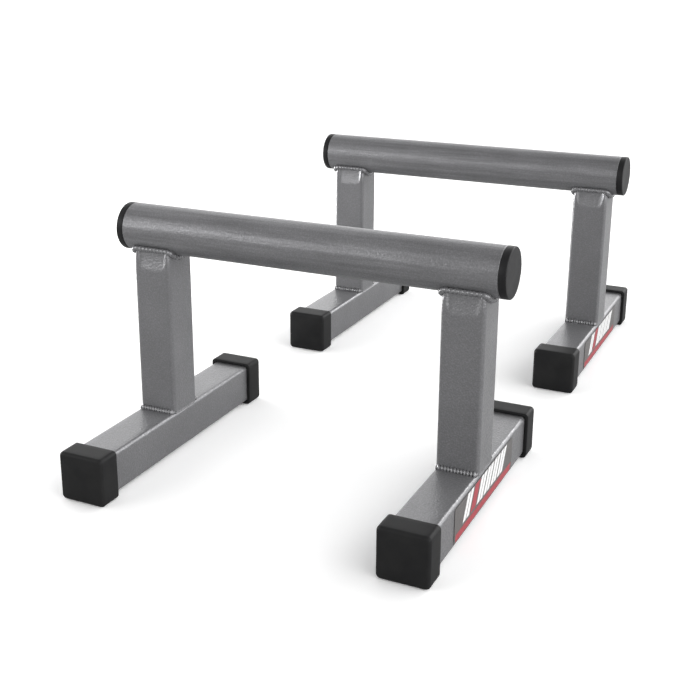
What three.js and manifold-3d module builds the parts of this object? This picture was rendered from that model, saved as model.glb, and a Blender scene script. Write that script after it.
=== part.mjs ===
// A pair of low parallel bars: two identical free-standing welded steel stands. Each stand is a
// round grip tube on two square uprights, each upright on its own square foot tube.
// Millimetres, +Z up. X runs along the grips, Y from the front bar to the rear bar, and the origin
// is on the floor, midway between the two bars.
import * as THREE from 'three';
import { mergeVertices } from 'three/addons/utils/BufferGeometryUtils.js';
import Module from 'manifold-3d';

const wasm = await Module();
wasm.setup();

// Clearance that touching pieces keep between them.
const GAP = 0.3;

// How finely the round and curved faces are divided.
const TUBE_SEGMENTS = 48;
const PLUG_SEGMENTS = 24;
const WELD_STATIONS = 40;
const WELD_SIDES = 6;

// Layout of one stand, and of the pair.
const BAR_SPACING = 566;
const GRIP_LENGTH = 484;
const GRIP_AXIS_HEIGHT = 281.5;
const UPRIGHT_OFFSET = 196;
const FOOT_LENGTH = 370;

// Round grip tube and its end plugs.
const GRIP_RADIUS = 28.5;
const GRIP_WALL = 2.5;
const PLUG_HEAD = 8.6;
const PLUG_EDGE = 1.6;
const PLUG_BARREL_RADIUS = 24.2;
const PLUG_BARREL_WALL = 2.2;
const PLUG_BARREL_LENGTH = 18;
const PLUG_FIN = 1.3;
const PLUG_FIN_HALF_WIDTH = 1;
const PLUG_FIN_PITCH = 6;

// Square tube of the uprights and feet.
const TUBE_SIDE = 50;
const TUBE_WALL = 2.5;
const TUBE_CORNER = 4.5;

// The front and back walls of an upright are pressed in below the grip.
const PRESS_HEIGHT = 29;
const PRESS_DEPTH = 4.2;
const PRESS_AT_CORNERS = 0.6;
const PRESS_FLAT_HALF_WIDTH = 16;
const PRESS_EDGE_HALF_WIDTH = 21;

// Moulded boots on the foot tubes.
const BOOT_SIDE = 59;
const BOOT_LENGTH = 32.5;
const BOOT_CORNER = 6;
const BOOT_END_WALL = 6;
const BOOT_END_EDGE = 4;
const BOOT_DOME = 1.6;
const BOOT_MOUTH_EDGE = 0.8;

// Weld beads.
const GRIP_WELD_RADIUS = 2.8;
const FOOT_WELD_LEG = 5.5;
const FOOT_WELD_LENGTH = 46;

// Label on the outer side of the right foot.
const LABEL_LENGTH = 202;
const LABEL_HEIGHT = 41;
const LABEL_THICKNESS = 0.4;
const LABEL_CORNER = 1.5;
const LABEL_CENTRE_Y = 0;

const BOOT_WALL = (BOOT_SIDE - TUBE_SIDE) / 2;
const FOOT_TOP = BOOT_WALL + TUBE_SIDE;
const UPRIGHT_BOTTOM = FOOT_TOP + GAP;
const GRIP_WELD_LINE = GRIP_AXIS_HEIGHT - Math.sqrt(GRIP_RADIUS ** 2 - (TUBE_SIDE / 2 - PRESS_DEPTH) ** 2);
const PRESS_BOTTOM = GRIP_WELD_LINE - PRESS_HEIGHT;

const POWDER_COAT = new THREE.MeshStandardMaterial({ color: 0x8e8e90, roughness: 0.5, metalness: 0.35 });
const BOOT_RUBBER = new THREE.MeshStandardMaterial({ color: 0x2b2b2c, roughness: 0.6, metalness: 0 });
const PLUG_PLASTIC = new THREE.MeshStandardMaterial({ color: 0x3a3a3b, roughness: 0.45, metalness: 0 });
const LABEL_VINYL = new THREE.MeshStandardMaterial({ color: 0x5a5a5c, roughness: 0.35, metalness: 0 });

// A closed skin over rings that all have the same number of points. The end rings are filled with
// fans, or joined to each other when the skin runs round in a loop.
function skinRings(rings, loop = false) {
  const count = rings[0].length;
  const positions = rings.flat().flatMap((point) => [point.x, point.y, point.z]);
  const index = [];
  const bands = loop ? rings.length : rings.length - 1;
  for (let ring = 0; ring < bands; ring++) {
    const here = ring * count;
    const there = ((ring + 1) % rings.length) * count;
    for (let side = 0; side < count; side++) {
      const next = (side + 1) % count;
      index.push(here + side, here + next, there + next);
      index.push(here + side, there + next, there + side);
    }
  }
  if (!loop) {
    fillEnd(positions, index, rings[0], 0, true);
    fillEnd(positions, index, rings.at(-1), (rings.length - 1) * count, false);
  }
  const geometry = new THREE.BufferGeometry();
  geometry.setAttribute('position', new THREE.Float32BufferAttribute(positions, 3));
  geometry.setIndex(index);
  return geometry;
}

function fillEnd(positions, index, ring, first, reversed) {
  const centre = new THREE.Vector3();
  ring.forEach((point) => centre.addScaledVector(point, 1 / ring.length));
  const middle = positions.length / 3;
  positions.push(centre.x, centre.y, centre.z);
  ring.forEach((_, side) => {
    const next = (side + 1) % ring.length;
    const edge = reversed ? [first + next, first + side] : [first + side, first + next];
    index.push(...edge, middle);
  });
}

// Points round a rectangle with rounded corners, anticlockwise, with extra points along its walls
// at the given fractions of the straight stretch.
function roundedOutline(halfWidth, halfDepth, radius, acrossWidth = [], acrossDepth = [], arcSteps = 3) {
  const points = [];
  const corners = [[1, -1, acrossDepth], [1, 1, acrossWidth], [-1, 1, acrossDepth], [-1, -1, acrossWidth]];
  corners.forEach(([signX, signY, fractions], corner) => {
    const centreX = signX * (halfWidth - radius);
    const centreY = signY * (halfDepth - radius);
    for (let step = 0; step <= arcSteps; step++) {
      const angle = (Math.PI / 2) * (corner - 1 + step / arcSteps);
      points.push(new THREE.Vector2(centreX + radius * Math.cos(angle), centreY + radius * Math.sin(angle)));
    }
    const alongWall = corner % 2 === 0
      ? (f) => new THREE.Vector2(signX * halfWidth, signX * f * (halfDepth - radius))
      : (f) => new THREE.Vector2(-signY * f * (halfWidth - radius), signY * halfDepth);
    fractions.forEach((f) => points.push(alongWall(f)));
  });
  return points;
}

function roundedShape(halfWidth, halfHeight, radius) {
  return new THREE.Shape(roundedOutline(halfWidth, halfHeight, radius));
}

function toSolid(geometry) {
  const bare = geometry.clone();
  bare.deleteAttribute('normal');
  bare.deleteAttribute('uv');
  const merged = mergeVertices(bare);
  return new wasm.Manifold(new wasm.Mesh({
    numProp: 3,
    vertProperties: new Float32Array(merged.attributes.position.array),
    triVerts: new Uint32Array(merged.index.array),
  }));
}

function toGeometry(solid) {
  const mesh = solid.getMesh();
  const geometry = new THREE.BufferGeometry();
  geometry.setAttribute('position', new THREE.BufferAttribute(mesh.vertProperties, 3));
  geometry.setIndex(new THREE.BufferAttribute(mesh.triVerts, 1));
  return geometry;
}

// Hollow round tube along X, open at both ends.
function gripTube() {
  const half = GRIP_LENGTH / 2 - PLUG_HEAD - GAP;
  const inner = GRIP_RADIUS - GRIP_WALL;
  const profile = [[inner, -half], [GRIP_RADIUS, -half], [GRIP_RADIUS, half], [inner, half], [inner, -half]];
  const geometry = new THREE.LatheGeometry(profile.map(([r, y]) => new THREE.Vector2(r, y)), TUBE_SEGMENTS);
  return geometry.rotateZ(-Math.PI / 2);
}

// End plug: a disc head outside the tube, and a hollow finned barrel that presses into it.
// The barrel points along -X and the head's inner face is at x = 0.
function gripPlug() {
  const inner = PLUG_BARREL_RADIUS - PLUG_BARREL_WALL;
  const profile = [[0, 0], [inner, 0], [inner, -PLUG_BARREL_LENGTH]];
  profile.push([PLUG_BARREL_RADIUS, -PLUG_BARREL_LENGTH]);
  for (let y = -PLUG_BARREL_LENGTH + PLUG_FIN_PITCH / 2; y < -PLUG_FIN_HALF_WIDTH; y += PLUG_FIN_PITCH) {
    profile.push([PLUG_BARREL_RADIUS, y - PLUG_FIN_HALF_WIDTH]);
    profile.push([PLUG_BARREL_RADIUS + PLUG_FIN, y]);
    profile.push([PLUG_BARREL_RADIUS, y + PLUG_FIN_HALF_WIDTH]);
  }
  profile.push([PLUG_BARREL_RADIUS, 0], [GRIP_RADIUS, 0], [GRIP_RADIUS, PLUG_HEAD - PLUG_EDGE]);
  profile.push([GRIP_RADIUS - PLUG_EDGE, PLUG_HEAD], [0, PLUG_HEAD]);
  const geometry = new THREE.LatheGeometry(profile.map(([r, y]) => new THREE.Vector2(r, y)), PLUG_SEGMENTS);
  return geometry.rotateZ(-Math.PI / 2);
}

// How far an upright's front and back walls are pressed in, at a height and a place across.
function pressAt(height, across) {
  const { clamp, lerp, smoothstep } = THREE.MathUtils;
  const rise = clamp((height - PRESS_BOTTOM) / PRESS_HEIGHT, 0, 1);
  const towardsEdge = smoothstep(Math.abs(across), PRESS_FLAT_HALF_WIDTH, PRESS_EDGE_HALF_WIDTH);
  return PRESS_DEPTH * Math.sin((rise * Math.PI) / 2) * lerp(1, PRESS_AT_CORNERS, towardsEdge);
}

// Section of an upright at one height, grown by outset; a negative outset gives its bore.
function uprightSection(height, outset) {
  const half = TUBE_SIDE / 2 + outset;
  const radius = TUBE_CORNER + outset;
  const wallPoints = [-0.84, -0.62, 0.62, 0.84];
  return roundedOutline(half, half, radius, wallPoints, [-0.5, 0, 0.5]).map(({ x, y }) => {
    const pressed = y - Math.sign(y) * pressAt(height, x) * Math.min(1, Math.abs(y) / (half - radius));
    return new THREE.Vector3(x, pressed, height);
  });
}

// Upright: square tube with its top pressed narrower and coped to sit under the round grip.
// Its axis is x = y = 0 and its heights are above the floor.
function upright() {
  const top = GRIP_AXIS_HEIGHT - GRIP_RADIUS / 2;
  const pressSteps = [0, 0.1, 0.25, 0.5, 0.75, 1].map((step) => PRESS_BOTTOM + step * PRESS_HEIGHT);
  const heights = [UPRIGHT_BOTTOM, ...pressSteps, top];
  const outside = skinRings(heights.map((height) => uprightSection(height, 0)));
  const boreHeights = [UPRIGHT_BOTTOM - 1, ...pressSteps, top + 1];
  const bore = skinRings(boreHeights.map((height) => uprightSection(height, -TUBE_WALL)));
  const grip = new THREE.CylinderGeometry(GRIP_RADIUS + GAP, GRIP_RADIUS + GAP, 2 * TUBE_SIDE, TUBE_SEGMENTS);
  grip.rotateZ(Math.PI / 2).translate(0, 0, GRIP_AXIS_HEIGHT);
  return toGeometry(toSolid(outside).subtract(toSolid(bore)).subtract(toSolid(grip)));
}

// Weld bead that runs round the top of an upright, in the corner between its walls and the grip.
// Seen from above, it follows the upright's section level with the underside of the grip.
function gripWeld() {
  const offset = GRIP_WELD_RADIUS + GAP;
  const reach = GRIP_RADIUS + offset;
  const path = uprightSection(GRIP_AXIS_HEIGHT - GRIP_RADIUS, offset).map(({ x, y }) => (
    new THREE.Vector3(x, y, GRIP_AXIS_HEIGHT - Math.sqrt(reach ** 2 - y ** 2))
  ));
  const curve = new THREE.CatmullRomCurve3(path, true);
  const frames = curve.computeFrenetFrames(WELD_STATIONS, true);
  const rings = [];
  for (let station = 0; station < WELD_STATIONS; station++) {
    const centre = curve.getPointAt(station / WELD_STATIONS);
    rings.push(Array.from({ length: WELD_SIDES }, (_, side) => {
      const angle = (2 * Math.PI * side) / WELD_SIDES;
      return centre.clone()
        .addScaledVector(frames.normals[station], GRIP_WELD_RADIUS * Math.cos(angle))
        .addScaledVector(frames.binormals[station], GRIP_WELD_RADIUS * Math.sin(angle));
    }));
  }
  return skinRings(rings, true);
}

// Fillet weld along X, in the corner between an upright's front wall (y = 0) and the foot (z = 0).
function footWeld() {
  const shape = new THREE.Shape();
  shape.moveTo(GAP, GAP);
  shape.lineTo(FOOT_WELD_LEG, GAP);
  shape.quadraticCurveTo(FOOT_WELD_LEG * 0.7, FOOT_WELD_LEG * 0.7, GAP, FOOT_WELD_LEG);
  const geometry = new THREE.ExtrudeGeometry(shape, {
    depth: FOOT_WELD_LENGTH, bevelEnabled: false, curveSegments: 3,
  });
  geometry.translate(0, 0, -FOOT_WELD_LENGTH / 2);
  return geometry.rotateX(Math.PI / 2).rotateZ(-Math.PI / 2);
}

// Square foot tube along Y, open at both ends, centred on its own middle.
function footTube() {
  const length = FOOT_LENGTH - 2 * (BOOT_END_WALL + GAP);
  const shape = roundedShape(TUBE_SIDE / 2, TUBE_SIDE / 2, TUBE_CORNER);
  const bore = TUBE_SIDE / 2 - TUBE_WALL;
  shape.holes.push(new THREE.Path(roundedOutline(bore, bore, TUBE_CORNER - TUBE_WALL).reverse()));
  const geometry = new THREE.ExtrudeGeometry(shape, { depth: length, bevelEnabled: false });
  return geometry.translate(0, 0, -length / 2).rotateX(Math.PI / 2);
}

// Boot: a square sleeve that slips over the end of a foot tube, closed by a slightly domed end.
// Its mouth is at y = 0 and its end towards -Y, with its middle on the axis x = z = 0.
function boot() {
  const half = BOOT_SIDE / 2;
  const socket = TUBE_SIDE / 2 + GAP;
  const ring = (inset, y, radius) => (
    roundedOutline(half - inset, half - inset, radius).map((point) => new THREE.Vector3(point.x, y, -point.y))
  );
  const flatEnd = -BOOT_LENGTH + BOOT_DOME;
  const rings = [ring(half * 0.6, -BOOT_LENGTH, BOOT_CORNER)];
  for (let step = 0; step <= 3; step++) {
    const angle = (Math.PI / 2) * (step / 3);
    const inset = BOOT_END_EDGE * (1 - Math.sin(angle));
    rings.push(ring(inset, flatEnd + BOOT_END_EDGE * (1 - Math.cos(angle)), BOOT_CORNER - inset / 4));
  }
  rings.push(ring(0, -BOOT_MOUTH_EDGE, BOOT_CORNER), ring(BOOT_MOUTH_EDGE, 0, BOOT_CORNER));
  rings.push(ring(half - socket, 0, TUBE_CORNER));
  rings.push(ring(half - socket, BOOT_END_WALL - BOOT_LENGTH, TUBE_CORNER));
  return skinRings(rings);
}

// Label: a thin vinyl plate in the YZ plane, its back at x = 0.
function label() {
  const shape = roundedShape(LABEL_LENGTH / 2, LABEL_HEIGHT / 2, LABEL_CORNER);
  const geometry = new THREE.ExtrudeGeometry(shape, { depth: LABEL_THICKNESS, bevelEnabled: false });
  return geometry.rotateX(Math.PI / 2).rotateZ(Math.PI / 2);
}

const GEOMETRY = {
  gripTube: gripTube(),
  gripPlug: gripPlug(),
  upright: upright(),
  gripWeld: gripWeld(),
  footWeld: footWeld(),
  footTube: footTube(),
  boot: boot(),
  label: label(),
};

function piece(name, geometry, material, position, turn = 0) {
  const mesh = new THREE.Mesh(geometry, material);
  mesh.name = name;
  mesh.position.set(...position);
  mesh.rotation.z = turn;
  return mesh;
}

// One upright with its foot, boots and welds, at one end of the grip.
function leg(prefix, side) {
  const group = new THREE.Group();
  const middle = BOOT_SIDE / 2;
  const mouth = FOOT_LENGTH / 2 - BOOT_LENGTH;
  const wall = TUBE_SIDE / 2;
  group.add(piece(`${prefix}_upright_${side}`, GEOMETRY.upright, POWDER_COAT, [0, 0, 0]));
  group.add(piece(`${prefix}_grip_weld_${side}`, GEOMETRY.gripWeld, POWDER_COAT, [0, 0, 0]));
  group.add(piece(`${prefix}_foot_${side}`, GEOMETRY.footTube, POWDER_COAT, [0, 0, middle]));
  for (const [end, sign, turn] of [['fore', -1, 0], ['aft', 1, Math.PI]]) {
    const weldName = `${prefix}_foot_weld_${side}_${end}`;
    const bootName = `${prefix}_boot_${side}_${end}`;
    group.add(piece(weldName, GEOMETRY.footWeld, POWDER_COAT, [0, sign * wall, FOOT_TOP], turn));
    group.add(piece(bootName, GEOMETRY.boot, BOOT_RUBBER, [0, sign * mouth, middle], turn));
  }
  return group;
}

function stand(prefix) {
  const group = new THREE.Group();
  group.add(piece(`${prefix}_grip_tube`, GEOMETRY.gripTube, POWDER_COAT, [0, 0, GRIP_AXIS_HEIGHT]));
  for (const [side, sign, turn] of [['left', -1, Math.PI], ['right', 1, 0]]) {
    const plugPlace = [sign * (GRIP_LENGTH / 2 - PLUG_HEAD), 0, GRIP_AXIS_HEIGHT];
    group.add(piece(`${prefix}_plug_${side}`, GEOMETRY.gripPlug, PLUG_PLASTIC, plugPlace, turn));
    const end = leg(prefix, side);
    end.position.x = sign * UPRIGHT_OFFSET;
    group.add(end);
  }
  const labelPlace = [UPRIGHT_OFFSET + TUBE_SIDE / 2 + GAP, LABEL_CENTRE_Y, BOOT_SIDE / 2];
  group.add(piece(`${prefix}_label`, GEOMETRY.label, LABEL_VINYL, labelPlace));
  return group;
}

const parallelBars = new THREE.Group();
for (const [prefix, sign] of [['front_bar', -1], ['rear_bar', 1]]) {
  const bar = stand(prefix);
  bar.position.y = (sign * BAR_SPACING) / 2;
  parallelBars.add(bar);
}

export default parallelBars;
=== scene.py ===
import math

import bmesh
import bpy
from mathutils import Matrix, Vector, noise


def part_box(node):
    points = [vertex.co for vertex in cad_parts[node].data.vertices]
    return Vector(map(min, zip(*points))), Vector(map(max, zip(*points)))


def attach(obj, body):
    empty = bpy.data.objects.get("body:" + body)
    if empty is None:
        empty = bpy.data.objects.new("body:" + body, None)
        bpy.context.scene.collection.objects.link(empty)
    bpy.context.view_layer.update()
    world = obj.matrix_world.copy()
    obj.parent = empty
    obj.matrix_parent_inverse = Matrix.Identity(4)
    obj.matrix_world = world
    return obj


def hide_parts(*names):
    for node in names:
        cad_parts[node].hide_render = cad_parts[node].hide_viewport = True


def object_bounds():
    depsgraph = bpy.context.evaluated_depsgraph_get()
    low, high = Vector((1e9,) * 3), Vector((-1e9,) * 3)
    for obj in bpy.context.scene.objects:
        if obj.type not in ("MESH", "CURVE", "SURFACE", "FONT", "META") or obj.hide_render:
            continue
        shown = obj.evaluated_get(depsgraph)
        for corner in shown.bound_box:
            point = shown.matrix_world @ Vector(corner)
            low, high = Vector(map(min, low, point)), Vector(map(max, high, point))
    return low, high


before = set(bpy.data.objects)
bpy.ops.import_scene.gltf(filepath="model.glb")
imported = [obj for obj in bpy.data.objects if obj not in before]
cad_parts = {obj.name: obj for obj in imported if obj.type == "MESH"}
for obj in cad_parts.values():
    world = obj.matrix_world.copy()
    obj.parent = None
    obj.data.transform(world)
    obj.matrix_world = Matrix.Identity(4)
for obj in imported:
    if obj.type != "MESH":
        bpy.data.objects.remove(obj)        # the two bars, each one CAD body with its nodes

CAD_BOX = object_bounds()
MM = 0.001
TUBE_WALL = 2.5 * MM
TUBE_CORNER = 4.5 * MM         # outer corner radius of the square tubes
COPE_GAP = 0.3 * MM            # between a tube and whatever sits on it
BARS = ("front_bar", "rear_bar")
SIDES = ("left", "right")
ENDS = {"fore": -1, "aft": 1}    # which way along Y each end of a foot points


# ---------------------------------------------------------------- shapes: shared ways of making a mesh

def rounded_outline(half_x, half_y, radius, wall_steps, arc_steps):
    """Points round a rectangle with rounded corners, anticlockwise from the front right corner.
    wall_steps counts the stretches that each straight wall is divided into."""
    points = []
    signs = ((1, -1), (1, 1), (-1, 1), (-1, -1))
    for corner, (sign_x, sign_y) in enumerate(signs):
        middle = Vector((sign_x * (half_x - radius), sign_y * (half_y - radius)))
        for step in range(arc_steps + 1):
            angle = math.pi / 2 * (corner - 1 + step / arc_steps)
            points.append(middle + radius * Vector((math.cos(angle), math.sin(angle))))
        last = points[-1]
        next_x, next_y = signs[(corner + 1) % 4]
        next_middle = Vector((next_x * (half_x - radius), next_y * (half_y - radius)))
        first = next_middle + (last - middle)
        points.extend(last.lerp(first, step / wall_steps) for step in range(1, wall_steps))
    return points


def wrapped(columns, rows, place, closed_rows=False):
    """A bmesh made by wrapping a flat grid: place(column, row) says where each grid point goes.
    The grid closes round its columns, and also along its rows if closed_rows is set."""
    bm = bmesh.new()
    bmesh.ops.create_grid(bm, x_segments=columns, y_segments=rows, size=1)
    for vert in bm.verts:
        column = round((vert.co.x + 1) / 2 * columns) % columns
        row = round((vert.co.y + 1) / 2 * rows)
        vert.co = place(column, row % rows if closed_rows else row)
    bmesh.ops.remove_doubles(bm, verts=bm.verts, dist=1e-6)
    bmesh.ops.dissolve_degenerate(bm, edges=bm.edges, dist=1e-7)
    bmesh.ops.recalc_face_normals(bm, faces=bm.faces)
    return bm


def spun(profile, steps, closed):
    """A bmesh made by spinning a profile of (along, radius) pairs round the X axis."""
    bm = bmesh.new()
    verts = [bm.verts.new((along, 0, radius)) for along, radius in profile]
    pairs = list(zip(verts, verts[1:]))
    if closed:
        pairs.append((verts[-1], verts[0]))
    edges = [bm.edges.new(pair) for pair in pairs]
    bmesh.ops.spin(bm, geom=verts + edges, cent=(0, 0, 0), axis=(1, 0, 0), angle=2 * math.pi,
                   steps=steps, use_merge=True)
    bmesh.ops.remove_doubles(bm, verts=bm.verts, dist=1e-6)
    bmesh.ops.recalc_face_normals(bm, faces=bm.faces)
    return bm


def joined(parts):
    """One bmesh from several."""
    whole = bmesh.new()
    for part in parts:
        mesh = bpy.data.meshes.new("part")
        part.to_mesh(mesh)
        part.free()
        whole.from_mesh(mesh)
        bpy.data.meshes.remove(mesh)
    return whole


def arc(centre, radius, start, stop, steps):
    """Points of an arc in a profile's plane, angles in degrees from the along axis."""
    angles = (math.radians(start + (stop - start) * step / steps) for step in range(steps + 1))
    return [(centre[0] + radius * math.cos(a), centre[1] + radius * math.sin(a)) for a in angles]


def finished(name, bm, materials, body, nodes, sharp=35):
    """Turns a bmesh into a piece that rides on a body and stands for the named CAD nodes."""
    mesh = bpy.data.meshes.new(name)
    bm.to_mesh(mesh)
    bm.free()
    mesh.shade_smooth()
    mesh.set_sharp_from_angle(angle=math.radians(sharp))
    piece = bpy.data.objects.new(name, mesh)
    bpy.context.scene.collection.objects.link(piece)
    for material in materials:
        mesh.materials.append(material)
    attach(piece, body)
    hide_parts(*nodes)
    return piece


# ---------------------------------------------------------------- materials

def rgb(code):
    """An sRGB hex colour as the linear colour that Blender's sockets take."""
    channels = [int(code[i:i + 2], 16) / 255 for i in (1, 3, 5)]
    linear = [c / 12.92 if c <= 0.04045 else ((c + 0.055) / 1.055) ** 2.4 for c in channels]
    return (*linear, 1)


def node(tree, kind, inputs=None, **settings):
    """Adds a node with its settings; inputs are values, or the output sockets that feed them."""
    made = tree.nodes.new(kind)
    for key, value in settings.items():
        setattr(made, key, value)
    for socket, value in (inputs or {}).items():
        if isinstance(value, bpy.types.NodeSocket):
            tree.links.new(value, made.inputs[socket])
        else:
            made.inputs[socket].default_value = value
    return made


def new_material(name, kind="ShaderNodeBsdfPrincipled", inputs=None):
    """A material with nothing in its tree but one shader and its output."""
    material = bpy.data.materials.new(name)
    material.use_nodes = True
    tree = material.node_tree
    tree.nodes.clear()
    shader = node(tree, kind, inputs)
    node(tree, "ShaderNodeOutputMaterial", {"Surface": shader.outputs[0]})
    return material, tree, shader


def powder_coat(name, pebble_depth, gloss, clear, die_lines_and_painted_streaks):
    """Polyester powder coat with a fine structure finish, silver grey with a little mica in it,
    baked on steel: a satin, pebbled skin that breaks up reflections into grains.
    pebble_depth is in millimetres, gloss is the lowest and highest roughness, clear is how much of
    the resin's own gloss lies over the mica, and the last argument is how strongly the die lines of a
    drawn tube show through it: as real ribs in the skin, and as lighter and darker streaks painted
    into the colour, a painted reflection of the lights running along the tube."""
    pebble = 1 / (2.2 * MM)        # the real pebbles are near 0.5 mm; 2.2 mm is the finest that shows
    mica = 1 / (1.5 * MM)          # mica flecks, also drawn coarser than life
    clouds = 1 / (45 * MM)         # slow change in film thickness
    die_lines = 1 / (5 * MM)       # spacing of the drawn tube's die lines
    line_stretch = (0.04, 1.0, 1.0)    # the die lines run on along the tube
    line_depth = 0.35 * MM
    # painted reflection: how far the colour is lightened and darkened in streaks along the die lines
    painted_streak_contrast = 0.16 * die_lines_and_painted_streaks
    off_axis = (0.6, 0.5, 0.4)     # turns the grain away from the tubes' own directions
    material, tree, shader = new_material(name)
    place = node(tree, "ShaderNodeTexCoord").outputs["Object"]
    turned = node(tree, "ShaderNodeMapping", {"Vector": place, "Rotation": off_axis}).outputs["Vector"]
    pebbles = node(tree, "ShaderNodeTexNoise",
                   {"Vector": turned, "Scale": pebble, "Detail": 0.5, "Roughness": 0.5})
    flecks = node(tree, "ShaderNodeTexNoise",
                  {"Vector": turned, "Scale": mica, "Detail": 1.0, "Roughness": 0.5})
    drift = node(tree, "ShaderNodeTexNoise",
                 {"Vector": place, "Scale": clouds, "Detail": 2.0, "Roughness": 0.5})
    along_tube = node(tree, "ShaderNodeMapping", {"Vector": place, "Scale": line_stretch})
    lines = node(tree, "ShaderNodeTexNoise",
                 {"Vector": along_tube.outputs["Vector"], "Scale": die_lines,
                  "Detail": 3.0, "Roughness": 0.6})
    fleck_tone = node(tree, "ShaderNodeMapRange",
                      {"Value": flecks.outputs["Fac"], "From Min": 0.42, "From Max": 0.72,
                       "To Min": 0.96, "To Max": 1.22})
    drift_tone = node(tree, "ShaderNodeMapRange",
                      {"Value": drift.outputs["Fac"], "From Min": 0.3, "From Max": 0.7,
                       "To Min": 0.95, "To Max": 1.05})
    # painted reflection: lighter and darker streaks of colour along the tube, standing for streaky
    # reflections of the lights
    painted_streak_tone = node(tree, "ShaderNodeMapRange",
                     {"Value": lines.outputs["Fac"], "From Min": 0.3, "From Max": 0.7,
                      "To Min": 1 - painted_streak_contrast, "To Max": 1 + painted_streak_contrast})
    film = node(tree, "ShaderNodeMath",
                {0: fleck_tone.outputs["Result"], 1: drift_tone.outputs["Result"]},
                operation="MULTIPLY")
    gain = node(tree, "ShaderNodeMath", {0: film.outputs["Value"], 1: painted_streak_tone.outputs["Result"]},
                operation="MULTIPLY")
    tone = node(tree, "ShaderNodeVectorMath", {0: COAT_GREY, "Scale": gain.outputs["Value"]},
                operation="SCALE")
    tree.links.new(tone.outputs["Vector"], shader.inputs["Base Color"])
    sheen = node(tree, "ShaderNodeMapRange",
                 {"Value": pebbles.outputs["Fac"], "From Min": 0.3, "From Max": 0.7,
                  "To Min": gloss[0], "To Max": gloss[1]})
    tree.links.new(sheen.outputs["Result"], shader.inputs["Roughness"])
    skin = node(tree, "ShaderNodeBump",
                {"Strength": 1.0, "Distance": pebble_depth * MM, "Height": pebbles.outputs["Fac"]})
    ribbed = node(tree, "ShaderNodeBump",
                  {"Strength": die_lines_and_painted_streaks, "Distance": line_depth, "Height": lines.outputs["Fac"],
                   "Normal": skin.outputs["Normal"]})
    tree.links.new(ribbed.outputs["Normal"], shader.inputs["Normal"])
    tree.links.new(ribbed.outputs["Normal"], shader.inputs["Coat Normal"])
    shader.inputs["Metallic"].default_value = 0.5
    shader.inputs["Coat Weight"].default_value = clear
    shader.inputs["Coat Roughness"].default_value = 0.2
    return material


def moulded(name, low, high, gloss, shine, grain_mm, depth_mm, cloud_mm):
    """A moulded part straight from a spark-eroded tool: an even, very fine matt grain, a little
    uneven in gloss where the skin has been handled. low and high are its darkest and lightest
    colours, gloss is the lowest and highest roughness, and shine is the specular level."""
    material, tree, shader = new_material(name)
    place = node(tree, "ShaderNodeTexCoord").outputs["Object"]
    grain = node(tree, "ShaderNodeTexNoise",
                 {"Vector": place, "Scale": 1 / (grain_mm * MM), "Detail": 2.0, "Roughness": 0.55})
    clouds = node(tree, "ShaderNodeTexNoise",
                  {"Vector": place, "Scale": 1 / (cloud_mm * MM), "Detail": 4.0, "Roughness": 0.6})
    shade = node(tree, "ShaderNodeMapRange",
                 {"Value": clouds.outputs["Fac"], "From Min": 0.3, "From Max": 0.7,
                  "To Min": 0.0, "To Max": 1.0})
    tone = node(tree, "ShaderNodeMix", {"Factor": shade.outputs["Result"], "A": rgb(low), "B": rgb(high)},
                data_type="RGBA")
    tree.links.new(tone.outputs["Result"], shader.inputs["Base Color"])
    sheen = node(tree, "ShaderNodeMapRange",
                 {"Value": clouds.outputs["Fac"], "From Min": 0.3, "From Max": 0.7,
                  "To Min": gloss[0], "To Max": gloss[1]})
    tree.links.new(sheen.outputs["Result"], shader.inputs["Roughness"])
    skin = node(tree, "ShaderNodeBump",
                {"Strength": 0.3, "Distance": depth_mm * MM, "Height": grain.outputs["Fac"]})
    tree.links.new(skin.outputs["Normal"], shader.inputs["Normal"])
    shader.inputs["Specular IOR Level"].default_value = shine
    return material


def printed_vinyl(name, low, high):
    """Screen ink on cast vinyl film: flat colour with a satin face and a faint orange peel."""
    material, tree, shader = new_material(name)
    place = node(tree, "ShaderNodeTexCoord").outputs["Object"]
    peel = node(tree, "ShaderNodeTexNoise",
                {"Vector": place, "Scale": 1 / (2.5 * MM), "Detail": 2.0, "Roughness": 0.5})
    tone = node(tree, "ShaderNodeMix", {"Factor": peel.outputs["Fac"], "A": rgb(low), "B": rgb(high)},
                data_type="RGBA")
    tree.links.new(tone.outputs["Result"], shader.inputs["Base Color"])
    sheen = node(tree, "ShaderNodeMapRange",
                 {"Value": peel.outputs["Fac"], "From Min": 0.3, "From Max": 0.7,
                  "To Min": 0.32, "To Max": 0.42})
    tree.links.new(sheen.outputs["Result"], shader.inputs["Roughness"])
    skin = node(tree, "ShaderNodeBump",
                {"Strength": 0.2, "Distance": 0.05 * MM, "Height": peel.outputs["Fac"]})
    tree.links.new(skin.outputs["Normal"], shader.inputs["Normal"])
    return material


COAT_GREY = rgb("#7c7c7e")[:3]
COAT = powder_coat("powder_coat_on_square_tube", 0.40, (0.28, 0.40), 0.15, 0.0)
# the grip's coat has painted streaks of reflection in its colour along the die lines, besides their real
# ribs
GRIP_COAT = powder_coat("powder_coat_with_painted_streaks_on_drawn_tube", 0.28, (0.34, 0.46), 0.0, 1.0)
WELD_COAT = powder_coat("powder_coat_on_weld", 0.05, (0.24, 0.32), 0.4, 0.0)
RUBBER = moulded("moulded_epdm_rubber", "#222223", "#292929", (0.42, 0.52), 0.11, 1.0, 0.05, 30)
PLASTIC = moulded("moulded_polyethylene", "#1e1e1f", "#242425", (0.36, 0.46), 0.20, 0.9, 0.04, 22)
VINYL = printed_vinyl("printed_vinyl_grey", "#5a5857", "#5e5c5b")
WHITE_INK = printed_vinyl("printed_vinyl_white", "#e6e6e6", "#eeeeee")
RED_INK = printed_vinyl("printed_vinyl_red", "#9a3940", "#a34149")


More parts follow.
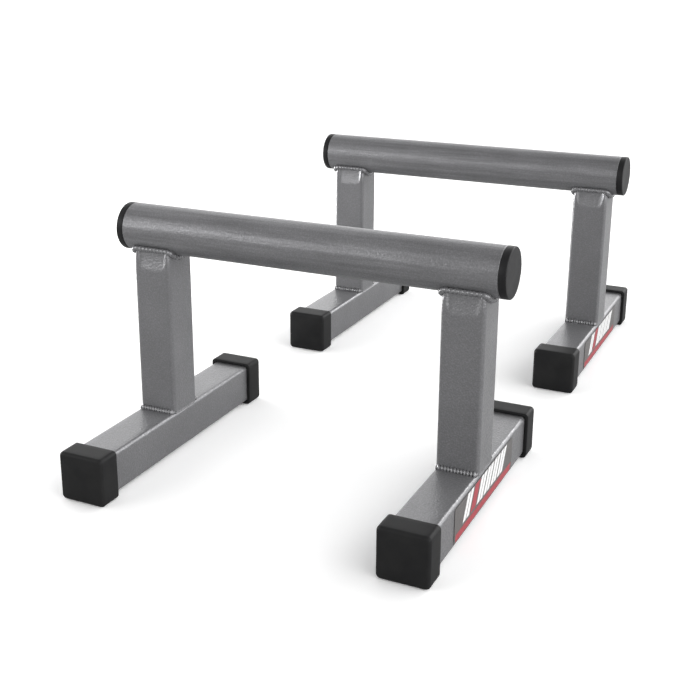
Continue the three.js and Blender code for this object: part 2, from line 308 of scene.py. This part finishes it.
# ---------------------------------------------------------------- grip and plugs

def grip_axis(bar):
    """Where a grip's axis crosses X = 0, and its outer radius."""
    low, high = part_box(f"{bar}_grip_tube")
    middle = (low + high) / 2
    return Vector((0, middle.y, middle.z)), (high.z - low.z) / 2


def make_grip(bar):
    """Round tube, cut square and lightly deburred at both ends."""
    deburr = 0.4 * MM
    low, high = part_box(f"{bar}_grip_tube")
    axis, radius = grip_axis(bar)
    profile = [(low.x, radius - TUBE_WALL), (low.x, radius - deburr), (low.x + deburr, radius)]
    stretches = 24
    length = high.x - low.x - 2 * deburr
    profile += [(low.x + deburr + length * k / stretches, radius) for k in range(1, stretches)]
    profile += [(high.x - deburr, radius), (high.x, radius - deburr), (high.x, radius - TUBE_WALL)]
    bm = spun(profile, 128, closed=True)
    bmesh.ops.translate(bm, verts=bm.verts, vec=axis)
    return finished(f"{bar}_grip", bm, [GRIP_COAT], bar, [f"{bar}_grip_tube"])


def make_plug(bar, side):
    """End plug: a flat disc head with a small rounded rim, and a hollow barrel with gripping fins."""
    rim, back_rim = 1.3 * MM, 0.5 * MM
    barrel = 24.2 * MM             # radius
    barrel_wall = 2.2 * MM
    fin = 1.4 * MM                 # height
    fin_pitch = 6 * MM
    fin_root, fin_tip = 1 * MM, 0.2 * MM    # half its thickness at the barrel and at its edge
    shrink = 0.25 * MM             # how far the face sinks over the hollow barrel as the plastic cools
    sunk = 24                      # radius of the sunk part of the face, in millimetres
    node_name = f"{bar}_plug_{side}"
    low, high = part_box(node_name)
    axis, radius = grip_axis(bar)
    tube_low, tube_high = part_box(f"{bar}_grip_tube")
    seat = COPE_GAP
    head = (high.x - tube_high.x if side == "right" else tube_low.x - low.x) - seat
    depth = (high.x - low.x) - head
    profile = [(0, 0), (0, barrel - barrel_wall), (-depth, barrel - barrel_wall), (-depth, barrel)]
    fins = int(depth / fin_pitch)
    for k in range(fins):
        along = -depth + fin_pitch * (k + 0.5)
        profile += [(along - fin_root, barrel), (along - fin_tip, barrel + fin),
                    (along + fin_tip, barrel + fin), (along + fin_root, barrel)]
    profile += [(0, barrel)]
    profile += arc((back_rim, radius - back_rim), back_rim, 180, 90, 3)
    profile += arc((head - rim, radius - rim), rim, 90, 0, 6)
    profile += [(head - shrink * (1 - (r / sunk) ** 2), r * MM) for r in (23, 20, 16, 12, 8, 4, 0)]
    bm = spun(profile, 96, closed=False)
    if side == "left":
        bmesh.ops.rotate(bm, verts=bm.verts, cent=(0, 0, 0), matrix=Matrix.Rotation(math.pi, 3, "Z"))
    face = (tube_high.x + seat) if side == "right" else (tube_low.x - seat)
    bmesh.ops.translate(bm, verts=bm.verts, vec=(face, axis.y, axis.z))
    return finished(f"{bar}_end_plug_{side}", bm, [PLASTIC], bar, [node_name])


# ---------------------------------------------------------------- uprights

PRESS_HEIGHT = 29 * MM         # from the foot of the press up to the weld
PRESS_DEPTH = 4.2 * MM         # how far in the wall is at the weld
PRESS_BELLY = 1.8              # how full the dish is; 1 would be a straight slope up to the weld
PRESS_HALF_WIDTH = 21.5 * MM
PRESS_LOWER_CORNER = 9 * MM    # radius of the press's lower corners
PRESS_FOOT = 20 * MM           # how gradually the press begins at its foot
PRESS_FLANK = 0.88             # slope of the press's side walls
PRESS_EDGE = 1.1 * MM          # radius rolled over where a side wall begins
PRESS_START = 2.5 * MM         # and where the dish begins
PRESS_AT_CORNERS = 0.7         # how far the tube's corners fold in at the weld, as a share
CORNER_ROLL = 1.4 * MM         # how far the tube's corners roll towards its middle at the weld


def smoothstep(value, start, stop):
    """Rises smoothly from 0 at start to 1 at stop."""
    t = min(max((value - start) / (stop - start), 0), 1)
    return t * t * (3 - 2 * t)


class Upright:
    """One upright's measures, read from its CAD node, and its outside surface."""

    def __init__(self, bar, side):
        low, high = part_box(f"{bar}_upright_{side}")
        self.middle = Vector(((low.x + high.x) / 2, (low.y + high.y) / 2, 0))
        self.half = (high.x - low.x) / 2
        self.bottom = low.z
        axis, self.grip_radius = grip_axis(bar)
        self.grip_height = axis.z
        self.weld_line = self.under_grip(self.half - PRESS_DEPTH)
        self.press_bottom = self.weld_line - PRESS_HEIGHT

    def under_grip(self, y, clearance=0.0):
        """The height of the grip's underside, y away from its axis."""
        return self.grip_height - math.sqrt((self.grip_radius + clearance) ** 2 - y ** 2)

    def press(self, x, height):
        """How far the front and back walls are pressed in: a dish, deepest at the weld, that ends at each
        side in a sloping wall, while the tube's own corners fold in only near the weld."""
        above = math.hypot(max(height - self.press_bottom, 0), PRESS_START) - PRESS_START
        rise = min(above / (PRESS_HEIGHT - PRESS_START), 1)
        near_side = max(PRESS_LOWER_CORNER - max(PRESS_HALF_WIDTH - abs(x), 0), 0)
        near_foot = max(PRESS_LOWER_CORNER * (1 - above / PRESS_FOOT), 0)
        inside = max(PRESS_LOWER_CORNER - math.hypot(near_side, near_foot), 0)
        corners = PRESS_DEPTH * PRESS_AT_CORNERS * rise ** 3
        dish = PRESS_DEPTH * (1 - (1 - rise) ** PRESS_BELLY) - corners
        wall = PRESS_FLANK * (math.hypot(inside, PRESS_EDGE) - PRESS_EDGE)
        if min(dish, wall) <= 0:
            return corners
        # the shallower of dish and wall, blended softly where they meet
        return corners + dish * wall / (dish ** 3 + wall ** 3) ** (1 / 3)

    def pressed(self, point, height):
        """A point of the plain section, moved to where the press leaves it."""
        rise = min(max((height - self.press_bottom) / PRESS_HEIGHT, 0), 1)
        share = min(1, abs(point.y) / (self.half - TUBE_CORNER))
        roll = 1 - CORNER_ROLL / self.half * rise ** 2 * (abs(point.y) / self.half) ** 3
        sink = math.copysign(self.press(point.x, height) * share, point.y)
        return Vector((point.x * roll, point.y - sink))


def make_upright(bar, side):
    """Square tube, its top pressed narrower and coped to the grip, with a real wall thickness."""
    straight_steps, press_steps, cope_steps = 8, 20, 8
    level_share = 0.55             # how far up the press its rows stay level; above, they follow the cope
    u = Upright(bar, side)
    outline = rounded_outline(u.half, u.half, TUBE_CORNER, wall_steps=44, arc_steps=8)
    straight = [u.bottom + (u.press_bottom - u.bottom) * k / straight_steps
                for k in range(straight_steps + 1)]
    level_top = u.press_bottom + PRESS_HEIGHT * level_share
    pressed_rows = [u.press_bottom + (level_top - u.press_bottom) * k / press_steps
                    for k in range(1, press_steps + 1)]

    def place(column, row):
        point = outline[column]
        if row < len(straight):
            height = straight[row]
        elif row < len(straight) + press_steps:
            height = pressed_rows[row - len(straight)]
        else:
            top = u.under_grip(u.pressed(point, u.weld_line).y, COPE_GAP)
            share = (row - len(straight) - press_steps + 1) / cope_steps
            height = level_top + (top - level_top) * share
        flat = u.pressed(point, height)
        return u.middle + Vector((flat.x, flat.y, height))

    bm = wrapped(len(outline), len(straight) + press_steps + cope_steps - 1, place)
    bmesh.ops.solidify(bm, geom=bm.faces, thickness=TUBE_WALL)
    return finished(f"{bar}_post_{side}", bm, [COAT], bar,
                    [f"{bar}_upright_{side}"])


# ---------------------------------------------------------------- welds

def ripple(distance, pitch):
    """The swell of weld ripples along a bead, from 0 in the valleys to 1 on the crests."""
    return abs(math.sin(math.pi * distance / pitch)) ** 0.8


def end_taper(row, rows, taper_rows):
    """Rounds off the two ends of a bead: 0 at the very end, 1 from taper_rows in."""
    return math.sqrt(min(min(row, rows - row) / taper_rows, 1))


def make_grip_weld(bar, side):
    """Rope-like bead round the top of an upright, with a thicker dab at each corner."""
    bead = 2.9 * MM                # radius
    pitch = 5.2 * MM
    swell = 0.24                   # of the ripples, as a share of the bead
    swell_below = 0.6              # share of that swell which lies below the bead's radius
    slope = 0.2                    # how far a ripple leans round the bead, in pitches
    wobble, wobble_scale = 0.05, 300
    dab = 0.8 * MM
    dab_core, dab_reach = 0.4, 4.5 * MM
    sink = 0.4 * MM                # how far the bead is sunk into the upright
    u = Upright(bar, side)
    offset = bead + COPE_GAP - sink
    half_x, half_y = u.half - CORNER_ROLL / 2 + offset, u.half - PRESS_DEPTH + offset
    corner = TUBE_CORNER + offset
    path = [Vector((point.x, point.y, u.under_grip(point.y, offset)))
            for point in rounded_outline(half_x, half_y, corner, wall_steps=24, arc_steps=10)]
    lengths = [0.0]
    for here, there in zip(path, path[1:] + path[:1]):
        lengths.append(lengths[-1] + (there - here).length)
    total = lengths[-1]
    count = round(total / pitch)
    stations = count * 10
    sides = 16

    def along_path(distance):
        index = max(k for k in range(len(path)) if lengths[k] <= distance)
        share = (distance - lengths[index]) / (lengths[index + 1] - lengths[index])
        return path[index].lerp(path[(index + 1) % len(path)], share)

    centres = [along_path(total * k / stations) for k in range(stations)]
    inset = corner * (1 - math.sqrt(0.5))
    dabs = [Vector((x * (half_x - inset), y * (half_y - inset))) for x in (-1, 1) for y in (-1, 1)]

    def place(column, row):
        centre = centres[row]
        along = (centres[(row + 1) % stations] - centres[row - 1]).normalized()
        out = along.cross(Vector((0, 0, 1))).normalized()
        up = out.cross(along)
        angle = 2 * math.pi * column / sides
        slant = slope * math.cos(angle + math.pi / 4)
        crest = ripple(total * row / stations + slant * pitch, total / count)
        radius = bead * (1 - swell * swell_below + swell * crest)
        nearest = min((centre.xy - middle).length for middle in dabs)
        radius += dab * (1 - smoothstep(nearest, dab_reach * dab_core, dab_reach))
        radius *= 1 + wobble * noise.noise(centre * wobble_scale)
        return u.middle + centre + radius * (math.cos(angle) * out - math.sin(angle) * up)

    bm = wrapped(sides, stations, place, closed_rows=True)
    return finished(f"{bar}_weld_grip_{side}", bm, [WELD_COAT], bar,
                    [f"{bar}_grip_weld_{side}"], sharp=80)


def fillet_bead(length, leg, pitch, swell):
    """A rippled fillet along X in the corner between a wall (y = 0) and a floor (z = 0), towards -Y."""
    swell_below = 0.7              # share of the ripples' swell which lies below the leg
    slope = 0.25                   # how far a ripple leans across the bead, in pitches
    wobble, wobble_scale = 0.06, 260
    core_out, core_radius = 0.22, 0.72    # where the bead's middle is and how thick it is, in legs
    count = round(length / pitch)
    stations = count * 8
    sides = 14

    def place(column, row):
        x = -length / 2 + length * row / stations
        angle = math.pi * 2 * column / sides
        slant = slope * math.cos(angle)
        crest = ripple(x + length + slant * pitch, length / count)
        size = leg * (1 - swell * swell_below + swell * crest)
        size *= end_taper(row, stations, 5)
        size *= 1 + wobble * noise.noise(Vector((x * wobble_scale, 3.1, 0)))
        core = Vector((x, -leg * core_out, leg * core_out))
        return core + size * core_radius * Vector((0, math.cos(angle), math.sin(angle)))

    return wrapped(sides, stations, place)


def flush_seam(length, radius, pitch):
    """A low rippled seam along Y, dressed almost flush."""
    valley, swell = 0.85, 0.3      # thickness in the valleys and what the crests add, in radii
    stations = round(length / pitch) * 6
    sides = 10

    def place(column, row):
        y = -length / 2 + length * row / stations
        angle = math.pi * 2 * column / sides
        size = radius * (valley + swell * ripple(y + length, pitch))
        size *= end_taper(row, stations, 4)
        return Vector((size * math.cos(angle), y, size * math.sin(angle)))

    return wrapped(sides, stations, place)


def make_foot_weld(bar, side):
    """The weld round an upright's foot: a rippled fillet in front and behind, a low seam each side."""
    leg, pitch, swell = 5.0 * MM, 3.7 * MM, 0.6
    short = 1 * MM                 # how much shorter a fillet is than the upright is wide
    seam, seam_pitch = 1.3 * MM, 2.6 * MM    # radius and ripple pitch
    seam_in, seam_down = 0.95, 0.45    # how far a seam sinks into the upright and the foot, in radii
    u = Upright(bar, side)
    foot_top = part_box(f"{bar}_foot_{side}")[1].z
    parts = []
    for angle in (0, math.pi):
        turn = Matrix.Rotation(angle, 3, "Z")
        bead = fillet_bead(2 * u.half - short, leg, pitch, swell)
        bmesh.ops.translate(bead, verts=bead.verts, vec=(0, -u.half, 0))
        bmesh.ops.rotate(bead, verts=bead.verts, cent=(0, 0, 0), matrix=turn)
        parts.append(bead)
        line = flush_seam(2 * u.half - TUBE_CORNER, seam, seam_pitch)
        bmesh.ops.translate(line, verts=line.verts,
                            vec=(u.half - seam * seam_in, 0, -seam * seam_down))
        bmesh.ops.rotate(line, verts=line.verts, cent=(0, 0, 0), matrix=turn)
        parts.append(line)
    bm = joined(parts)
    bmesh.ops.translate(bm, verts=bm.verts, vec=(u.middle.x, u.middle.y, foot_top))
    return finished(f"{bar}_weld_foot_{side}", bm, [WELD_COAT], bar,
                    [f"{bar}_foot_weld_{side}_{end}" for end in ENDS], sharp=80)


# ---------------------------------------------------------------- feet and boots

def make_foot(bar, side):
    """Square foot tube, open at both ends inside its boots."""
    low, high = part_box(f"{bar}_foot_{side}")
    middle = (low + high) / 2
    half = (high.x - low.x) / 2
    outline = rounded_outline(half, half, TUBE_CORNER, wall_steps=6, arc_steps=6)
    rows = 24

    def place(column, row):
        point = outline[column]
        y = low.y + (high.y - low.y) * row / rows
        return Vector((middle.x + point.x, y, middle.z + point.y))

    bm = wrapped(len(outline), rows, place)
    bmesh.ops.solidify(bm, geom=bm.faces, thickness=TUBE_WALL)
    return finished(f"{bar}_foot_rail_{side}", bm, [COAT], bar,
                    [f"{bar}_foot_{side}"])


def boot_rows(length, half, socket):
    """A boot from the middle of its end, over its outside and mouth, to the middle of its socket's
    floor. Each row is its half width, its place along the foot from the mouth, and its corner radius."""
    pillow = 2.2 * MM              # how far the end swells
    shoulder = 4.5 * MM
    corner = 5.0 * MM
    lip = 0.9 * MM
    end_wall = 6 * MM
    rim_share = (half - shoulder) / half
    rows = []
    for share in (0, 0.12, 0.25, 0.38, 0.5, 0.62, 0.72, 0.82, 0.9, 0.96):
        rows.append((half * rim_share * share, -length + pillow * share ** 2, corner * share * 0.9))
    for step in range(9):
        angle = math.pi / 2 * step / 8
        along = -length + pillow + shoulder * (1 - math.cos(angle))
        rows.append((half - shoulder * (1 - math.sin(angle)), along, corner * (0.9 + 0.1 * step / 8)))
    start, stop = rows[-1][1], -lip
    for share in (0.25, 0.5, 0.75):
        rows.append((half, start + (stop - start) * share, corner))
    for step in range(5):
        angle = math.pi / 2 * step / 4
        width = half - lip * (1 - math.cos(angle))
        rows.append((width, -lip + lip * math.sin(angle), corner - lip * step / 8))
    for step in range(5):
        angle = math.pi / 2 * step / 4
        width = socket + lip * (1 - math.sin(angle))
        rows.append((width, -lip * (1 - math.cos(angle)), TUBE_CORNER))
    rows += [(socket, -length / 2, TUBE_CORNER), (socket, -length + end_wall, TUBE_CORNER)]
    rows += [(socket * share, -length + end_wall, TUBE_CORNER * share) for share in (0.6, 0)]
    return rows


def make_boot(bar, side, end):
    """Moulded rubber boot: a square sleeve with a soft shoulder and a slightly swollen end."""
    node_name = f"{bar}_boot_{side}_{end}"
    low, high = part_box(node_name)
    foot_low, foot_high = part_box(f"{bar}_foot_{side}")
    middle = (low + high) / 2
    socket = (foot_high.x - foot_low.x) / 2 + COPE_GAP
    rows = boot_rows(high.y - low.y, (high.x - low.x) / 2, socket)
    mouth = high.y if end == "fore" else low.y
    wall_steps, arc_steps = 12, 8
    rings = [rounded_outline(width, width, radius, wall_steps, arc_steps) for width, _, radius in rows]

    def place(column, row):
        point = rings[row][column]
        return Vector((middle.x + point.x, mouth - ENDS[end] * rows[row][1], middle.z + point.y))

    bm = wrapped(len(rings[0]), len(rows) - 1, place)
    return finished(f"{bar}_rubber_boot_{side}_{end}", bm, [RUBBER], bar, [node_name])


# ---------------------------------------------------------------- label

LABEL_CORNER = 1.5 * MM
INK_LIFT = 0.06 * MM
LABEL_SLANT = 0.58             # how far the printed shapes lean, as a share of their height
STRIPE_LOW, STRIPE_HIGH = 1.2 * MM, 9.5 * MM    # above the film's lower edge
STRIPE_START, STRIPE_STOP = 4 * MM, 3 * MM      # in from the film's two ends
BARS_LOW, BARS_HIGH = 13.0 * MM, 40.2 * MM
BARS_START = 26 * MM
# Width and following gap of each slanted bar in millimetres, and its ink: 1 is white, 2 is red.
LABEL_BARS = [(9, 2, 1), (9, 4.5, 1), (17, 4.5, 2)] + [(9, 2, 1), (9, 4, 1)] * 4


def raised_patch(bm, corners, base, lift, material_index):
    """A thin printed patch: a flat polygon in the label's YZ plane, given a little thickness."""
    verts = [bm.verts.new((base, y, z)) for y, z in corners]
    face = bm.faces.new(verts)
    made = bmesh.ops.extrude_face_region(bm, geom=[face])
    top = [item for item in made["geom"] if isinstance(item, bmesh.types.BMVert)]
    bmesh.ops.translate(bm, verts=top, vec=(lift, 0, 0))
    faces = {f for v in verts + top for f in v.link_faces}
    for f in faces:
        f.material_index = material_index


def make_label(bar):
    """Vinyl label with plain slanted bars over a stripe: film, white ink and red ink."""
    node_name = f"{bar}_label"
    low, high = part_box(node_name)
    film = bmesh.new()
    bmesh.ops.create_cube(film, size=1)
    size = high - low
    bmesh.ops.scale(film, verts=film.verts, vec=size)
    short_edges = [e for e in film.edges if abs(e.verts[0].co.x - e.verts[1].co.x) > size.x / 2]
    bmesh.ops.bevel(film, geom=short_edges, offset=LABEL_CORNER, segments=5, profile=0.5,
                    affect="EDGES", material=-1)
    bmesh.ops.translate(film, verts=film.verts, vec=(low + high) / 2)
    ink = bmesh.new()
    bottom, top = low.z + STRIPE_LOW, low.z + STRIPE_HIGH
    start, stop = low.y + STRIPE_START, high.y - STRIPE_STOP
    lean = (top - bottom) * LABEL_SLANT
    corners = [(start, bottom), (stop - lean, bottom), (stop, top), (start, top)]
    raised_patch(ink, corners, high.x, INK_LIFT, 2)
    bottom, top = low.z + BARS_LOW, low.z + BARS_HIGH
    lean = (top - bottom) * LABEL_SLANT
    start = low.y + BARS_START
    for width, gap, material_index in LABEL_BARS:
        stop = start + width * MM
        corners = [(start, bottom), (stop, bottom), (stop + lean, top), (start + lean, top)]
        raised_patch(ink, corners, high.x, INK_LIFT, material_index)
        start += (width + gap) * MM
    bmesh.ops.recalc_face_normals(ink, faces=ink.faces)
    bm = joined([film, ink])
    return finished(f"{bar}_printed_label", bm, [VINYL, WHITE_INK, RED_INK], bar,
                    [node_name])


# ---------------------------------------------------------------- the two bars

for bar in BARS:
    make_grip(bar)
    make_label(bar)
    for side in SIDES:
        make_plug(bar, side)
        make_upright(bar, side)
        make_grip_weld(bar, side)
        make_foot_weld(bar, side)
        make_foot(bar, side)
        for end in ENDS:
            make_boot(bar, side, end)


# ---------------------------------------------------------------- studio

# How bright the room is from each of six directions.
ROOM = {"right": 3.7, "back": 1.95, "up": 0.1, "left": 1.4, "front": 0.42, "down": 0.0}
# Each floor's whiteness, its depth under the bars in millimetres, and whether the camera sees it.
FLOORS = {"floor": (1.15, 0.1, True), "floor_bounce": (0.40, 0.2, False)}
FLOOR_RADIUS, BACKDROP_RADIUS = 20, 25    # metres
# Each softbox's place, aim, width, height and power in watts.
BOXES = (
    ("low_left", (-2.2, 0.45, 0.25), (0, 0, 0.15), 1.1, 0.4, 35.0),
    ("left_floor", (-1.25, -0.02, 0.07), (0, -0.05, 0.15), 0.9, 0.25, 10.0),
    ("front_left", (-1.6, -2.0, 1.1), (0, 0, 0.15), 1.6, 0.8, 13.0),
    ("front_right", (1.5, -2.2, 1.2), (0, 0, 0.15), 1.4, 0.8, 3.0),
    ("high_back", (1.1, 2.5, 1.4), (0, 0, 0.15), 0.9, 0.6, 14.0),
)
CAMERA_PLACE = (0.5573, -1.3855, 0.6112)
CAMERA_AZIMUTH, CAMERA_ELEVATION = 25.86, 17.43    # degrees to the right of front, and above
CAMERA_LENS, CAMERA_SENSOR = 58.02, 36             # millimetres
CAMERA_SHIFT = (0.0357, -0.0770)                   # in frame widths


def stage_piece(name, bm, material, seen):
    """A floor or backdrop: seen by the camera only, or by the object only."""
    mesh = bpy.data.meshes.new(name)
    bm.to_mesh(mesh)
    bm.free()
    piece = bpy.data.objects.new(name, mesh)
    bpy.context.scene.collection.objects.link(piece)
    mesh.materials.append(material)
    piece.visible_camera = seen
    piece.visible_diffuse = piece.visible_glossy = piece.visible_transmission = not seen
    piece.visible_shadow = False


def make_stage():
    """A white floor to look at, a greyer one at the same place that lights the object, and a white
    backdrop all round."""
    for name, (white, depth, seen) in FLOORS.items():
        bm = bmesh.new()
        bmesh.ops.create_circle(bm, cap_ends=True, segments=96, radius=FLOOR_RADIUS)
        bmesh.ops.translate(bm, verts=bm.verts, vec=(0, 0, CAD_BOX[0][2] - depth * MM))
        paper = new_material(name + "_paper", "ShaderNodeBsdfDiffuse",
                             {"Color": (white, white, white, 1)})[0]
        stage_piece(name, bm, paper, seen)
    bm = bmesh.new()
    bmesh.ops.create_uvsphere(bm, u_segments=48, v_segments=24, radius=BACKDROP_RADIUS)
    glow = new_material("white_backdrop", "ShaderNodeEmission",
                        {"Color": (1, 1, 1, 1), "Strength": 1.0})[0]
    stage_piece("backdrop", bm, glow, True)


def make_room(right, back, up, left, front, down):
    """Soft room light from all round, given as its brightness in six directions and blended
    smoothly between them."""
    world = bpy.data.worlds.new("studio")
    bpy.context.scene.world = world
    world.use_nodes = True
    tree = world.node_tree
    tree.nodes.clear()
    direction = node(tree, "ShaderNodeTexCoord").outputs["Generated"]
    glow = None
    for sign, levels in ((1, (right, back, up)), (-1, (left, front, down))):
        facing = node(tree, "ShaderNodeVectorMath", {0: direction, "Scale": sign}, operation="SCALE")
        ahead = node(tree, "ShaderNodeVectorMath", {0: facing.outputs["Vector"], 1: (0, 0, 0)},
                     operation="MAXIMUM")
        share = node(tree, "ShaderNodeVectorMath",
                     {0: ahead.outputs["Vector"], 1: ahead.outputs["Vector"]}, operation="MULTIPLY")
        part = node(tree, "ShaderNodeVectorMath", {0: share.outputs["Vector"], 1: levels},
                    operation="DOT_PRODUCT")
        glow = part if glow is None else node(
            tree, "ShaderNodeMath", {0: glow.outputs["Value"], 1: part.outputs["Value"]}, operation="ADD")
    sky = node(tree, "ShaderNodeBackground", {"Color": (1, 1, 1, 1), "Strength": glow.outputs["Value"]})
    node(tree, "ShaderNodeOutputWorld", {"Surface": sky.outputs["Background"]})
    world.cycles_visibility.camera = False


def softbox(name, place, target, size_x, size_y, power):
    """A rectangular light turned towards its target, not seen by the camera itself."""
    data = bpy.data.lights.new(name, "AREA")
    data.shape = "RECTANGLE"
    data.size, data.size_y = size_x, size_y
    data.energy = power
    lamp = bpy.data.objects.new(name, data)
    lamp.location = place
    lamp.rotation_euler = (Vector(target) - Vector(place)).to_track_quat("-Z", "Y").to_euler()
    lamp.visible_camera = False
    bpy.context.scene.collection.objects.link(lamp)


def make_camera():
    """Three-quarter view from the front right, looking down on the bars."""
    azimuth, elevation = math.radians(CAMERA_AZIMUTH), math.radians(CAMERA_ELEVATION)
    toward = Vector((-math.sin(azimuth) * math.cos(elevation),
                     math.cos(azimuth) * math.cos(elevation), -math.sin(elevation)))
    data = bpy.data.cameras.new("camera")
    data.lens, data.sensor_width = CAMERA_LENS, CAMERA_SENSOR
    data.shift_x, data.shift_y = CAMERA_SHIFT
    data.clip_end = 200
    camera = bpy.data.objects.new("camera", data)
    camera.location = CAMERA_PLACE
    camera.rotation_euler = toward.to_track_quat("-Z", "Y").to_euler()
    bpy.context.scene.collection.objects.link(camera)
    bpy.context.scene.camera = camera


make_camera()
make_stage()
make_room(**ROOM)
for name, place, aim, size_x, size_y, power in BOXES:
    softbox(name, place, aim, size_x, size_y, power)
bpy.context.scene.view_settings.view_transform = "Standard"
